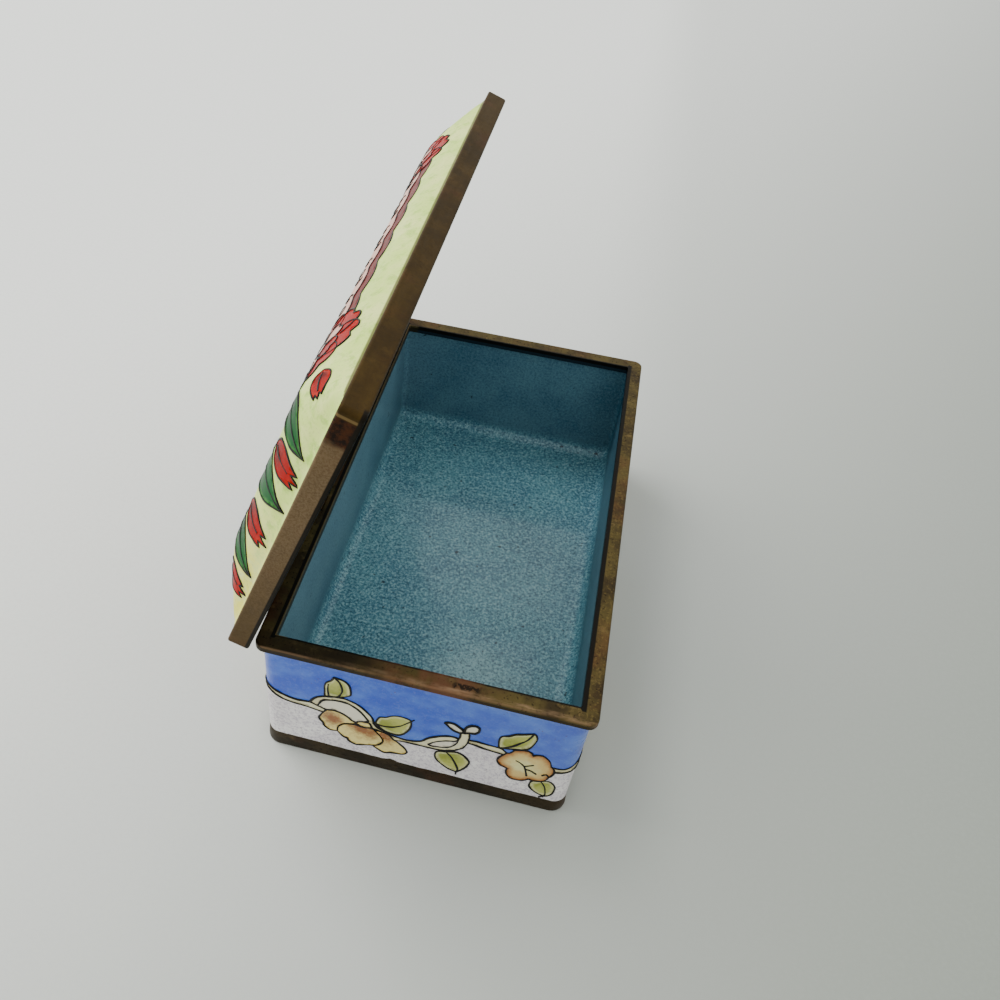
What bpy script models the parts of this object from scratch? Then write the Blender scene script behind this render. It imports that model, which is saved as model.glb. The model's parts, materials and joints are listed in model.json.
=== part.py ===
"""A small hinged box: an enamelled copper tray and a domed lid, both held in brass edging.

Metres, +Z up. The origin is the middle of the underside. X runs across the box from the
hinge side (-X) to the opening side (+X), and Y runs along it. The lid stands open at
OPEN_ANGLE on a hinge pin that lies along Y.
"""

import math

import bmesh
import bpy
from mathutils import Vector

MM = 0.001
MERGE = 0.001 * MM

# The whole box
LENGTH = 90.0 * MM
WIDTH = 52.0 * MM
RIM_TOP = 27.5 * MM
CLEARANCE = 0.3 * MM
CORNER_STEPS = 7

# Enamelled walls: copper sheet with fused enamel on both faces
WALL = 1.3 * MM
FLOOR = 1.3 * MM
WALL_CORNER = 2.4 * MM
INSIDE_FILLET = 1.8 * MM

# Brass channel that caps the walls
RIM_PLATE = 1.0 * MM
RIM_OUTER_LIP = 0.4 * MM
RIM_OUTER_DROP = 1.4 * MM
RIM_INNER_LIP = 0.45 * MM
RIM_INNER_DROP = 1.6 * MM
RIM_CORNER = 1.6 * MM
EDGE_ROUND = 0.35 * MM

# Shallow brass pan under the walls
PAN_SHEET = 0.5 * MM
PAN_HEIGHT = 3.3 * MM
PAN_ROUND = 0.6 * MM

# Lid: brass band and enamelled dome
JOINT_GAP = 0.3 * MM
LID_OVER_END = 0.8 * MM
LID_OVER_FRONT = 0.4 * MM
BAND_HEIGHT = 3.4 * MM
BAND_CORNER = 0.8 * MM
BAND_WALL = 0.8 * MM
BAND_PLATE = 1.0 * MM
DOME_SHELL = 1.2 * MM
DOME_RISE = 5.8 * MM
DOME_END_FLAT = 1.2 * MM
DOME_SHOULDER = 10.0 * MM
DOME_POWER = 1.35
DOME_STEPS = 9

# Hinge: five tube knuckles on one pin, let into a pocket along the joint
OPEN_ANGLE = math.radians(71.0)
HINGE_LENGTH = 30.0 * MM
KNUCKLES = 5
KNUCKLE_RADIUS = 0.9 * MM
PIN_RADIUS = 0.35 * MM
PIN_PLAY = 0.2 * MM
PIN_END = 0.4 * MM
HINGE_DROP = 0.6 * MM
SWING_CLEARANCE = 0.12 * MM
ROUND_STEPS = 24

# Worked out from the sizes above
WALL_OUTER = RIM_OUTER_LIP + CLEARANCE
WALL_INNER = WALL_OUTER + WALL
RIM_GROOVE_INNER = WALL_INNER + CLEARANCE
RIM_WIDTH = RIM_GROOVE_INNER + RIM_INNER_LIP
WALL_TOP = RIM_TOP - RIM_PLATE - CLEARANCE
FLOOR_UNDER = PAN_SHEET + CLEARANCE
FLOOR_TOP = FLOOR_UNDER + FLOOR
BAND_BOTTOM = RIM_TOP + JOINT_GAP
BAND_TOP = BAND_BOTTOM + BAND_HEIGHT
DOME_OUTER = BAND_WALL + CLEARANCE
DOME_BOTTOM = BAND_BOTTOM + BAND_PLATE + CLEARANCE

# The rim's outer corner clears the lid's underside by SWING_CLEARANCE at every angle
HINGE_REACH = HINGE_DROP + JOINT_GAP - SWING_CLEARANCE
HINGE_SETBACK = math.sqrt(HINGE_REACH ** 2 - HINGE_DROP ** 2)
HINGE_AXIS = Vector((HINGE_SETBACK - WIDTH / 2, 0.0, RIM_TOP - HINGE_DROP))


def clear_scene():
    for obj in list(bpy.data.objects):
        bpy.data.objects.remove(obj, do_unlink=True)


def make_material(name, colour, roughness, metallic):
    material = bpy.data.materials.new(name)
    material.use_nodes = True
    shader = material.node_tree.nodes["Principled BSDF"]
    shader.inputs["Base Color"].default_value = (*colour, 1.0)
    shader.inputs["Roughness"].default_value = roughness
    shader.inputs["Metallic"].default_value = metallic
    return material


def wall_corner(inset):
    """Corner radius of the outline that runs parallel to the wall at this inset."""
    return max(WALL_CORNER - (inset - WALL_OUTER), CLEARANCE)


def rim_corner(inset):
    """Corner radius of the outline that runs parallel to the rim's edge at this inset."""
    return max(RIM_CORNER - inset, CLEARANCE)


def band_corner(inset):
    """Corner radius of the outline that runs parallel to the lid's edge at this inset."""
    return max(BAND_CORNER - inset, CLEARANCE)


def arc(centre_inset, centre_z, radius, start, end, steps=4):
    """Points (inset, z) of an arc; angle 0 points into the box and 90 degrees up."""
    points = []
    for step in range(steps + 1):
        angle = math.radians(start + (end - start) * step / steps)
        points.append((centre_inset + radius * math.cos(angle), centre_z + radius * math.sin(angle)))
    return points


def outline(inset, radius, over_end=0.0, over_front=0.0):
    """Points of a rounded rectangle, WIDTH by LENGTH less the inset on every side, and let out
    at both ends and at the opening side."""
    half_x = WIDTH / 2 - inset + over_front / 2
    half_y = LENGTH / 2 - inset + over_end
    radius = min(radius, half_x * 0.98)
    points = []
    for quarter, (side_x, side_y) in enumerate(((1, 1), (-1, 1), (-1, -1), (1, -1))):
        for step in range(CORNER_STEPS + 1):
            angle = math.radians(90.0 * (quarter + step / CORNER_STEPS))
            x = over_front / 2 + side_x * (half_x - radius) + radius * math.cos(angle)
            y = side_y * (half_y - radius) + radius * math.sin(angle)
            points.append((x, y))
    return points


def place_loop(verts, inset, radius, height, over_end=0.0, over_front=0.0):
    """Move a row of vertices onto an outline; height is a number or a function of x and y."""
    for vert, (x, y) in zip(verts, outline(inset, radius, over_end, over_front)):
        vert.co = (x, y, height(x, y) if callable(height) else height)


def finish_object(name, bm, material, parent=None):
    """Turn the bmesh into an object, moved under its parent where it has one."""
    bmesh.ops.recalc_face_normals(bm, faces=bm.faces)
    if parent is not None:
        bmesh.ops.translate(bm, verts=bm.verts, vec=-parent.location)
    mesh = bpy.data.meshes.new(name)
    bm.to_mesh(mesh)
    bm.free()
    mesh.shade_smooth()
    mesh.set_sharp_from_angle(angle=math.radians(35))
    mesh.materials.append(material)
    obj = bpy.data.objects.new(name, mesh)
    obj.parent = parent
    bpy.context.collection.objects.link(obj)
    return obj


def make_lofted(name, sections, material, ring=False, parent=None):
    """Extrude a loop from section to section; a ring closes on itself, and a shell gets two caps."""
    bm = bmesh.new()
    verts = [bm.verts.new() for _ in outline(0.0, RIM_CORNER)]
    first = edges = [bm.edges.new((vert, verts[index - 1])) for index, vert in enumerate(verts)]
    place_loop(verts, *sections[0])
    for section in sections[1:] + (sections[:1] if ring else []):
        added = bmesh.ops.extrude_edge_only(bm, edges=edges)["geom"]
        edges = [item for item in added if isinstance(item, bmesh.types.BMEdge)]
        ends = {item for item in added if isinstance(item, bmesh.types.BMVert)}
        verts = [next(edge.other_vert(vert) for edge in vert.link_edges if edge.other_vert(vert) in ends)
                 for vert in verts]
        place_loop(verts, *section)
    if ring:
        bmesh.ops.remove_doubles(bm, verts=bm.verts, dist=MERGE)
    else:
        bmesh.ops.edgeloop_fill(bm, edges=first)
        bmesh.ops.edgeloop_fill(bm, edges=edges)
    return finish_object(name, bm, material, parent)


def cut_with(obj, cutter):
    modifier = obj.modifiers.new("hinge_pocket", "BOOLEAN")
    modifier.operation = "DIFFERENCE"
    modifier.solver = "EXACT"
    modifier.object = cutter


def make_box_body(material):
    """The open enamelled box: walls and floor in one shell, stepped in where the pan holds it."""
    foot_inset = WALL_OUTER + PAN_SHEET + CLEARANCE
    foot_round = max(PAN_ROUND - PAN_SHEET - CLEARANCE, 0.05 * MM)
    fillet_inset = WALL_INNER + INSIDE_FILLET
    inside_corner = wall_corner(WALL_INNER)
    sections = [(inset, inside_corner, z) for inset, z in
                arc(fillet_inset, FLOOR_TOP + INSIDE_FILLET, INSIDE_FILLET, 270, 180)]
    sections += [
        (WALL_INNER, inside_corner, WALL_TOP),
        (WALL_OUTER, wall_corner(WALL_OUTER), WALL_TOP),
        (WALL_OUTER, wall_corner(WALL_OUTER), PAN_HEIGHT + CLEARANCE),
        (foot_inset, wall_corner(foot_inset), PAN_HEIGHT + CLEARANCE),
    ]
    sections += [(inset, wall_corner(foot_inset), z) for inset, z in
                 arc(foot_inset + foot_round, FLOOR_UNDER + foot_round, foot_round, 180, 270, 3)]
    return make_lofted("box_body", sections, material)


def make_base_pan(material):
    """A shallow pan of sheet brass with a rounded lower edge, flat underneath."""
    centre_inset = WALL_OUTER + PAN_ROUND
    inner_round = max(PAN_ROUND - PAN_SHEET, 0.05 * MM)
    corner = wall_corner(WALL_OUTER)
    sections = [(inset, corner - PAN_SHEET, z) for inset, z in
                arc(WALL_OUTER + PAN_SHEET + inner_round, PAN_SHEET + inner_round, inner_round, 270, 180)]
    sections += [
        (WALL_OUTER + PAN_SHEET, corner - PAN_SHEET, PAN_HEIGHT),
        (WALL_OUTER, corner, PAN_HEIGHT),
    ]
    sections += [(inset, corner, z) for inset, z in arc(centre_inset, PAN_ROUND, PAN_ROUND, 180, 270)]
    return make_lofted("base_pan", sections, material)


def make_box_rim(material):
    """A brass channel with rolled outer edges that grips the top of the walls."""
    lip_bottom = RIM_TOP - RIM_OUTER_DROP
    sections = [(inset, rim_corner(inset), z) for inset, z in
                arc(EDGE_ROUND, RIM_TOP - EDGE_ROUND, EDGE_ROUND, 90, 180, 3)]
    sections += [
        (0.0, rim_corner(0.0), lip_bottom + EDGE_ROUND / 2),
        (EDGE_ROUND / 2, rim_corner(EDGE_ROUND / 2), lip_bottom),
        (RIM_OUTER_LIP, wall_corner(RIM_OUTER_LIP), lip_bottom),
        (RIM_OUTER_LIP, wall_corner(RIM_OUTER_LIP), RIM_TOP - RIM_PLATE),
        (RIM_GROOVE_INNER, wall_corner(RIM_GROOVE_INNER), RIM_TOP - RIM_PLATE),
        (RIM_GROOVE_INNER, wall_corner(RIM_GROOVE_INNER), RIM_TOP - RIM_INNER_DROP),
        (RIM_WIDTH, wall_corner(RIM_WIDTH), RIM_TOP - RIM_INNER_DROP),
        (RIM_WIDTH, wall_corner(RIM_WIDTH), RIM_TOP),
    ]
    return make_lofted("box_rim", sections, material, ring=True)


def let_out(sections):
    """The lid's outline is a little larger than the rim's at both ends and at the opening side."""
    return [(*section, LID_OVER_END, LID_OVER_FRONT) for section in sections]


def make_lid_band(material, pivot):
    """The lid's brass band: an upright edge and a flat underside as wide as the rim."""
    sections = [(inset, band_corner(inset), z) for inset, z in
                arc(EDGE_ROUND, BAND_TOP - EDGE_ROUND, EDGE_ROUND, 90, 180, 3)]
    sections += [(inset, band_corner(inset), z) for inset, z in
                 arc(EDGE_ROUND, BAND_BOTTOM + EDGE_ROUND, EDGE_ROUND, 180, 270, 3)]
    sections += [
        (RIM_WIDTH, band_corner(RIM_WIDTH), BAND_BOTTOM),
        (RIM_WIDTH, band_corner(RIM_WIDTH), BAND_BOTTOM + BAND_PLATE),
        (BAND_WALL, band_corner(BAND_WALL), BAND_BOTTOM + BAND_PLATE),
        (BAND_WALL, band_corner(BAND_WALL), BAND_TOP),
    ]
    return make_lofted("lid_band", let_out(sections), material, ring=True, parent=pivot)


def dome_height(outer_inset, rise):
    """Height of a pillow over its outline: a rounded shoulder on each side and a flat middle."""
    middle = LID_OVER_FRONT / 2
    half_x = WIDTH / 2 - outer_inset + middle
    half_y = LENGTH / 2 - outer_inset + LID_OVER_END - DOME_END_FLAT

    def shoulder(distance):
        share = min(max(distance / DOME_SHOULDER, 0.0), 1.0)
        return (1.0 - (1.0 - share) ** DOME_POWER) ** (1.0 / DOME_POWER)

    def height(x, y):
        over_x, over_y = shoulder(half_x - abs(x - middle)), shoulder(half_y - abs(y))
        both = over_x + over_y - over_x * over_y
        return BAND_TOP + rise * (over_x * over_y / both if both > 0 else 0.0)

    return height


def make_dome_rings(outer_inset, rise):
    """Loops from the foot of the dome up to its flat middle, closer together near the edge."""
    height = dome_height(outer_inset, rise)
    corner = band_corner(outer_inset)
    rings = []
    for step in range(1, DOME_STEPS + 1):
        run = DOME_SHOULDER * (1.0 - math.cos(math.pi / 2 * step / DOME_STEPS))
        rings.append((outer_inset + run, corner + run / 2, height))
    return rings


def make_lid_dome(material, pivot):
    """The enamelled lid: a pressed copper pillow whose skirt stands inside the band."""
    inner_inset = DOME_OUTER + DOME_SHELL
    skirt = [
        (inner_inset, band_corner(inner_inset), BAND_TOP),
        (inner_inset, band_corner(inner_inset), DOME_BOTTOM),
        (DOME_OUTER, band_corner(DOME_OUTER), DOME_BOTTOM),
        (DOME_OUTER, band_corner(DOME_OUTER), BAND_TOP),
    ]
    inside = make_dome_rings(inner_inset, DOME_RISE - DOME_SHELL)
    outside = make_dome_rings(DOME_OUTER, DOME_RISE)
    return make_lofted("lid_dome", let_out(inside[::-1] + skirt + outside), material, parent=pivot)


def make_tube(name, radius, bore, start, end, material, parent=None):
    """A length of tube round the hinge axis: its section turned once about the axis."""
    bm = bmesh.new()
    corners = [(bore, start), (radius, start), (radius, end), (bore, end)]
    verts = [bm.verts.new(HINGE_AXIS + Vector((out, along, 0.0))) for out, along in corners]
    edges = [bm.edges.new((vert, verts[index - 1])) for index, vert in enumerate(verts)]
    bmesh.ops.spin(bm, geom=verts + edges, cent=HINGE_AXIS, axis=(0, 1, 0), dvec=(0, 0, 0),
                   angle=math.tau, steps=ROUND_STEPS, use_merge=True)
    return finish_object(name, bm, material, parent)


def make_rod(name, radius, length, material):
    """A solid round bar centred on the hinge axis."""
    bm = bmesh.new()
    bmesh.ops.create_cone(bm, cap_ends=True, segments=ROUND_STEPS, radius1=radius, radius2=radius,
                          depth=length)
    bmesh.ops.rotate(bm, verts=bm.verts, cent=(0, 0, 0),
                     matrix=Vector((0, 0, 1)).rotation_difference(Vector((0, 1, 0))).to_matrix())
    bmesh.ops.translate(bm, verts=bm.verts, vec=HINGE_AXIS)
    return finish_object(name, bm, material)


def make_hinge(material, pivot):
    """Five knuckles on one pin: the odd ones stay with the box, the even ones turn with the lid."""
    pitch = (HINGE_LENGTH + CLEARANCE) / KNUCKLES
    for number in range(KNUCKLES):
        start = -HINGE_LENGTH / 2 + number * pitch
        parent = pivot if number % 2 else None
        make_tube(f"hinge_knuckle_{number + 1}", KNUCKLE_RADIUS, PIN_RADIUS + PIN_PLAY,
                  start, start + pitch - CLEARANCE, material, parent)
    make_rod("hinge_pin", PIN_RADIUS, HINGE_LENGTH + 2 * PIN_END, material)


def make_pocket_cutter(material):
    """The round pocket that the knuckles lie in, cut from the rim, the wall and the lid's band."""
    cutter = make_rod("pocket_cutter", KNUCKLE_RADIUS + CLEARANCE,
                      HINGE_LENGTH + 2 * (PIN_END + CLEARANCE), material)
    cutter.hide_render = True
    cutter.display_type = "WIRE"
    return cutter


def build():
    clear_scene()
    blue_enamel = make_material("blue_enamel", (0.10, 0.21, 0.58), 0.25, 0.0)
    lid_enamel = make_material("lid_enamel", (0.60, 0.68, 0.36), 0.25, 0.0)
    dull_brass = make_material("dull_brass", (0.16, 0.10, 0.05), 0.45, 0.9)

    pivot = bpy.data.objects.new("lid_pivot", None)
    pivot.location = HINGE_AXIS
    pivot.rotation_euler = (0.0, -OPEN_ANGLE, 0.0)
    bpy.context.collection.objects.link(pivot)

    cutter = make_pocket_cutter(dull_brass)
    make_base_pan(dull_brass)
    for obj in (make_box_body(blue_enamel), make_box_rim(dull_brass), make_lid_band(dull_brass, pivot)):
        cut_with(obj, cutter)
    make_lid_dome(lid_enamel, pivot)
    make_hinge(dull_brass, pivot)


build()
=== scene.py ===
"""A small cloisonne enamel box with its domed lid standing open, on a pale floor.

Metres, +Z up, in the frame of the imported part: -X is the hinge side, the box is long in Y, and
the lid's pieces are drawn shut and then turned open about the hinge.
"""

import json
import math
import random

import bmesh
import bpy
from mathutils import Matrix, Vector, noise


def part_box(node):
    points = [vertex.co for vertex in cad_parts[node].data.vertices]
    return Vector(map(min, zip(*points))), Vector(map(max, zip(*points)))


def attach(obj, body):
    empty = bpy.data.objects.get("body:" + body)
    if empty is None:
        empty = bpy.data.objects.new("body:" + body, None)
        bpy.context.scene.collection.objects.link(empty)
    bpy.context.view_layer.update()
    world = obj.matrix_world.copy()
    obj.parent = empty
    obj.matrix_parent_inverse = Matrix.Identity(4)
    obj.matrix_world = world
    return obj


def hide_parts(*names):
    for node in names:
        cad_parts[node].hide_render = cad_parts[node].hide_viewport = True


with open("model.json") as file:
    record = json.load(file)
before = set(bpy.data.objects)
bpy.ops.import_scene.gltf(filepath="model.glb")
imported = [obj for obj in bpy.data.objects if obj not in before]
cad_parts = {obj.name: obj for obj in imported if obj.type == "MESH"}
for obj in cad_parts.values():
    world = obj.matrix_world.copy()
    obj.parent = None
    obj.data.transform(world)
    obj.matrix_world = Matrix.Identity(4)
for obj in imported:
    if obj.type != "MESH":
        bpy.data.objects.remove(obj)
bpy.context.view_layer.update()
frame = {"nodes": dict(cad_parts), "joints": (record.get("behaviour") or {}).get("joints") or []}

# Base pan
# The foot of the box is a shallow tray of brass sheet, pressed to shape and soldered on under
# the walls. Its top edge was trimmed by hand, so it wanders a little, and the brass has gone a
# dark dull brown.
mm = 0.001
pan_low, pan_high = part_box("base_pan")
pan_sheet = 0.5 * mm
pan_bottom_round = 0.25 * mm
pan_flare = 0.2 * mm
pan_lip_round = 0.12 * mm
pan_wander = 0.16 * mm
foot_corner = 2.4 * mm


def rounded_loop(half_x, half_y, radius, x_steps=34, y_steps=60, corner_steps=10):
    """Points round a rounded rectangle, anticlockwise from the left end of its front side."""
    points = []
    for number, (side_x, side_y) in enumerate(((1, -1), (1, 1), (-1, 1), (-1, -1))):
        centre = Vector((side_x * (half_x - radius), side_y * (half_y - radius), 0))
        turned = [math.radians(90 * (number - 1 + step / corner_steps)) for step in range(corner_steps + 1)]
        bend = [centre + radius * Vector((math.cos(angle), math.sin(angle), 0)) for angle in turned]
        along_x = number % 2 == 0
        reach = Vector((side_x, 0, 0)) if along_x else Vector((0, side_y, 0))
        run = 2 * (half_x - radius) if along_x else 2 * (half_y - radius)
        steps = x_steps if along_x else y_steps
        points += [bend[0] - reach * run * (1 - step / steps) for step in range(1, steps)]
        points += bend
    return points


def draw_skin(bm, rows, closed=False):
    """Draws a loop of edges out from row to row of points, and gives the vertices row by row."""
    verts = [bm.verts.new(point) for point in rows[0]]
    edges = [bm.edges.new((vert, verts[number - 1])) for number, vert in enumerate(verts)]
    first, drawn_rows = edges, [verts]
    for row in rows[1:] + (rows[:1] if closed else []):
        drawn = bmesh.ops.extrude_edge_only(bm, edges=edges)["geom"]
        edges = [part for part in drawn if isinstance(part, bmesh.types.BMEdge)]
        ends = {part for part in drawn if isinstance(part, bmesh.types.BMVert)}
        verts = [next(edge.other_vert(vert) for edge in vert.link_edges if edge.other_vert(vert) in ends)
                 for vert in verts]
        for vert, point in zip(verts, row):
            vert.co = point
        drawn_rows.append(verts)
    if closed:
        bmesh.ops.remove_doubles(bm, verts=bm.verts, dist=0.0001 * mm)
    else:
        bmesh.ops.edgeloop_fill(bm, edges=first)
        bmesh.ops.edgeloop_fill(bm, edges=edges)
    return drawn_rows


def bend_points(across, height, radius, start, end, steps=5):
    """Points (inset, height) of an arc; 0 degrees points into the box and 90 degrees up."""
    angles = [math.radians(start + (end - start) * step / steps) for step in range(steps + 1)]
    return [(across + radius * math.cos(angle), height + radius * math.sin(angle)) for angle in angles]


def make_piece(name, mesh_or_bm, material, body, sharp_above=35):
    """Makes the finished object, riding on its body."""
    mesh = mesh_or_bm
    if isinstance(mesh_or_bm, bmesh.types.BMesh):
        mesh = bpy.data.meshes.new(name)
        mesh_or_bm.to_mesh(mesh)
        mesh_or_bm.free()
    mesh.shade_smooth()
    mesh.set_sharp_from_angle(angle=math.radians(sharp_above))
    mesh.materials.clear()
    mesh.materials.append(material)
    piece = bpy.data.objects.new(name, mesh)
    bpy.context.scene.collection.objects.link(piece)
    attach(piece, body)
    return piece


class Shade:
    """A socket in a material, so that a pattern is written as a sum of masks."""

    def __init__(self, tree, socket=None):
        self.tree = tree
        self.socket = socket

    def node(self, kind, settings=None, inputs=None, output=0):
        """Adds any node: its settings come first, then the values or links of its sockets."""
        made = self.tree.nodes.new("ShaderNode" + kind)
        for name, value in (settings or {}).items():
            setattr(made, name, value)
        for name, value in (inputs or {}).items():
            if isinstance(value, Shade):
                self.tree.links.new(value.socket, made.inputs[name])
            else:
                made.inputs[name].default_value = value
        return Shade(self.tree, made.outputs[output])

    def maths(self, operation, first, second=0.0):
        return self.node("Math", {"operation": operation}, {0: first, 1: second})

    def __add__(self, other):
        return self.maths("ADD", self, other)

    def __sub__(self, other):
        return self.maths("SUBTRACT", self, other)

    def __rsub__(self, other):
        return self.maths("SUBTRACT", other, self)

    def __mul__(self, other):
        return self.maths("MULTIPLY", self, other)

    def __truediv__(self, other):
        return self.maths("DIVIDE", self, other)

    __radd__ = __add__
    __rmul__ = __mul__

    def size(self):
        return self.maths("ABSOLUTE", self)

    def place(self):
        """Where the point is on the piece, in millimetres."""
        return self.node("TexCoord", output="Object").node_on_vector("SCALE", 1 / mm)

    def node_on_vector(self, operation, value):
        inputs = {0: self, "Scale": value} if operation == "SCALE" else {0: self, 1: value}
        output = "Value" if operation == "DOT_PRODUCT" else "Vector"
        return self.node("VectorMath", {"operation": operation}, inputs, output)

    def along(self, direction):
        """How far the point lies along a direction."""
        return self.node_on_vector("DOT_PRODUCT", direction)

    def stretched(self, factors):
        return self.node_on_vector("MULTIPLY", factors)

    def cloud(self, size, detail=3.0, rough=0.6):
        """Soft noise from 0 to 1, its lumps about this many millimetres wide."""
        inputs = {"Vector": self, "Scale": 1 / size, "Detail": detail, "Roughness": rough}
        return self.node("TexNoise", None, inputs)

    def grains(self, size, randomness=1.0):
        """Distance to the nearest of many scattered points, 0 at a point."""
        inputs = {"Vector": self, "Scale": 1 / size, "Randomness": randomness}
        return self.node("TexVoronoi", None, inputs, "Distance")

    def fade(self, low, high):
        """0 below low and 1 above high, smooth between; the other way round if low is higher."""
        start, end = (low, high) if low < high else (high, low)
        ends = {"To Min": 0.0, "To Max": 1.0} if low < high else {"To Min": 1.0, "To Max": 0.0}
        inputs = {"Value": self, "From Min": start, "From Max": end, **ends}
        return self.node("MapRange", {"interpolation_type": "SMOOTHSTEP"}, inputs)

    def mix(self, off, on):
        """Colour: off where this mask is 0 and on where it is 1."""
        return self.node("Mix", {"data_type": "RGBA"}, {0: self, 6: off, 7: on}, 2)


def screen(red, green, blue):
    """A colour given as it shows on a screen, 0 to 255, as Blender's linear values."""
    values = [channel / 255 for channel in (red, green, blue)]
    return (*[value / 12.92 if value < 0.04045 else ((value + 0.055) / 1.055) ** 2.4 for value in values], 1.0)


def new_material(name):
    material = bpy.data.materials.new(name)
    material.use_nodes = True
    return material, Shade(material.node_tree)


def finish_material(shade, bump=None, depth=0.0, **looks):
    """Sets the surface shader; a bump is a height from 0 to 1 that stands for this real depth."""
    shader = shade.tree.nodes["Principled BSDF"]
    for name, value in looks.items():
        socket = shader.inputs[name.replace("_", " ")]
        if isinstance(value, Shade):
            shade.tree.links.new(value.socket, socket)
        else:
            socket.default_value = value
    if bump is not None:
        inputs = {"Height": bump, "Strength": 1.0, "Distance": depth}
        shade.tree.links.new(shade.node("Bump", None, inputs).socket, shader.inputs["Normal"])


def aged_brass(name, dark, middle, worn, red=0.25, spots=0.5):
    """Brass under a brown skin of tarnish: cloudy, a little red in places, finely pitted."""
    material, shade = new_material(name)
    place = shade.place()
    clouds = place.cloud(7.0, 4.0, 0.65).fade(0.38, 0.64)
    streaks = place.stretched((1.0, 0.25, 1.0)).cloud(0.9, 4.0, 0.7)
    reddened = place.cloud(11.0, 3.0).fade(0.52, 0.68) * red
    pits = place.cloud(0.55, 2.0, 0.5).fade(0.40, 0.32) * spots
    rubbed = place.cloud(3.2, 5.0, 0.75).fade(0.55, 0.72)
    colour = clouds.mix(dark, middle)
    colour = (rubbed * 0.6).mix(colour, worn)
    colour = reddened.mix(colour, screen(108, 58, 38))
    colour = (streaks.fade(0.45, 0.72) * 0.35).mix(colour, dark)
    colour = pits.mix(colour, screen(38, 28, 18))
    gloss = 0.40 + streaks * 0.22 + pits * 0.2
    finish_material(shade, streaks * 0.6 - pits * 0.5, 0.012 * mm,
                    Base_Color=colour, Roughness=gloss, Metallic=0.82)
    return material, shade, colour, gloss


pan_brass, _, _, _ = aged_brass("pan_brass", screen(48, 40, 27), screen(66, 54, 36), screen(100, 80, 52))


def pan_edge(point):
    """How far the hand-cut lip wanders up or down here; one small tab stands up in front."""
    wander = noise.noise(point * 190) + 0.6 * noise.noise(point * 610) - point.x / mm * 0.05
    tab = 3.0 * math.exp(-((point.x / mm + 3.8) / 0.8) ** 4) if point.y < -40 * mm else 0.0
    return pan_wander * (wander + tab)


def pan_row(inset, height, wander=0.0):
    loop = rounded_loop(pan_high.x - inset, pan_high.y - inset, foot_corner - inset, 70)
    return [Vector((point.x, point.y, height + wander * pan_edge(point))) for point in loop]


bm = bmesh.new()
profile = bend_points(pan_bottom_round, pan_bottom_round, pan_bottom_round, 270, 180)
rows = [pan_row(inset - pan_flare, height) for inset, height in profile]
rows += [pan_row(0, pan_high.z - pan_lip_round, 1)]
rows += [pan_row(inset, height, 1) for inset, height in
         bend_points(pan_lip_round, pan_high.z - pan_lip_round, pan_lip_round, 150, 90, 2)]
rows += [pan_row(pan_sheet, pan_high.z, 1), pan_row(pan_sheet, pan_sheet)]
draw_skin(bm, rows)
bmesh.ops.recalc_face_normals(bm, faces=bm.faces)
pan = make_piece("base_pan_brass", bm, pan_brass, "box")
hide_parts("base_pan")

# Outer walls
# One band of copper sheet bent into a rounded oblong, with enamel fused on its outside: sky
# blue above the flowering vine and lilac white below it. The rim and the pan grip its edges.
body_low, body_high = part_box("box_body")
rim_low, rim_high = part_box("box_rim")
wall_half_x = body_high.x / mm
wall_half_y = body_high.y / mm
wall_corner = 2.4
enamel_layer = 0.65
wall_foot = pan_high.z / mm - 0.7
wall_head = body_high.z / mm
row_pitch = 0.6
side_x = 2 * (wall_half_x - wall_corner)
side_y = 2 * (wall_half_y - wall_corner)
bend_length = math.pi / 2 * wall_corner
girth = 2 * side_x + 2 * side_y + 4 * bend_length


def on_wall(around, height, lift=0.0):
    """The point this far round the walls, in mm from the middle of the front, and this high."""
    left = (around + side_x / 2) % girth
    for number, side in enumerate((side_x, side_y, side_x, side_y)):
        facing = Matrix.Rotation(math.radians(90 * number), 3, "Z")
        half_side = side / 2
        out = wall_half_y if number % 2 == 0 else wall_half_x
        if left <= side:
            return facing @ Vector((left - half_side, -(out + lift), 0)) * mm + Vector((0, 0, height * mm))
        left -= side
        if left <= bend_length:
            angle = left / wall_corner
            centre = Vector((half_side, -(out - wall_corner), 0))
            reach = (wall_corner + lift) * Vector((math.sin(angle), -math.cos(angle), 0))
            return facing @ (centre + reach) * mm + Vector((0, 0, height * mm))
        left -= bend_length
    return on_wall(0, height, lift)


def smooth_line(points, step=0.5):
    """A smooth curve through given points, as evenly spaced points."""
    points = [Vector(point) for point in points]
    padded = [2 * points[0] - points[1]] + points + [2 * points[-1] - points[-2]]
    line = []
    for before, start, end, after in zip(padded, padded[1:], padded[2:], padded[3:]):
        pieces = max(1, round((end - start).length / step))
        for number in range(pieces):
            t = number / pieces
            bend = (2 * before - 5 * start + 4 * end - after) * t * t
            twist = (3 * start - before - 3 * end + after) * t * t * t
            line.append(0.5 * (2 * start + (end - before) * t + bend + twist))
    return line + [points[-1]]


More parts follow.
